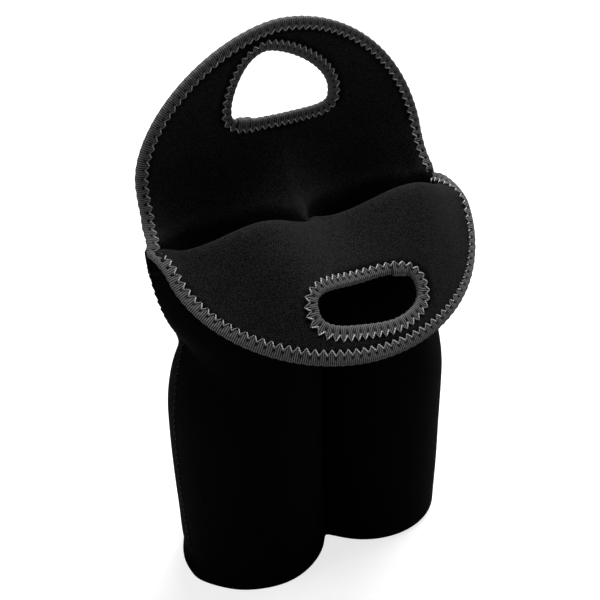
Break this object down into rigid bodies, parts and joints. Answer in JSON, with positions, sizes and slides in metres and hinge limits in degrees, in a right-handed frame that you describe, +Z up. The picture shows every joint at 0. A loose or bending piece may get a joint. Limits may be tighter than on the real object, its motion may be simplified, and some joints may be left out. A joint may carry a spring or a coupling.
{
  "type": "bottle carrier",
  "caption": "Soft neoprene carrier with side-by-side bottle sleeves and rounded, tape-bound handle flaps with hand slots, the front flap folded down.",
  "frame": {"origin": "on the floor, midway between the two sleeves, in the plane of the side seams", "axes": "+X along the two sleeves to the right seen from the front, -Y towards the folded front handle, +Z up"},
  "size_m": [0.2028, 0.1355, 0.341],
  "materials": {
    "neoprene": "matte",
    "tape": "matte",
    "thread": "satin"
  },
  "bodies": {
    "carrier": {"front_panel": "neoprene", "back_panel": "neoprene", "front_fold": "neoprene", "front_fold_binding": "tape", "back_fold": "neoprene", "back_fold_binding": "tape", "left_side_seam": "thread", "right_side_seam": "thread", "centre_seam": "thread", "left_base_seam": "thread", "right_base_seam": "thread", "centre_tack": "thread", "left_tack": "thread", "right_tack": "thread"},
    "front_handle": {"front_flap": "neoprene", "front_flap_binding": "tape", "front_slot_binding": "tape", "front_flap_stitch": "thread", "front_slot_stitch": "thread"},
    "back_handle": {"back_flap": "neoprene", "back_flap_binding": "tape", "back_slot_binding": "tape", "back_flap_stitch": "thread", "back_slot_stitch": "thread"}
  },
  "joints": [
    {"name": "front_handle_fold", "type": "hinge", "parent": "carrier", "child": "front_handle", "pos_m": [0, -0.02, 0.238], "axis": [-1, 0, 0], "range_deg": [0, 130], "deforming": ["front_fold", "front_fold_binding"]},
    {"name": "back_handle_fold", "type": "hinge", "parent": "carrier", "child": "back_handle", "pos_m": [0, 0.028, 0.242], "axis": [-1, 0, 0], "range_deg": [-8, 115], "stiffness_Nm_per_rad": 0.08, "deforming": ["back_fold", "back_fold_binding"]}
  ]
}
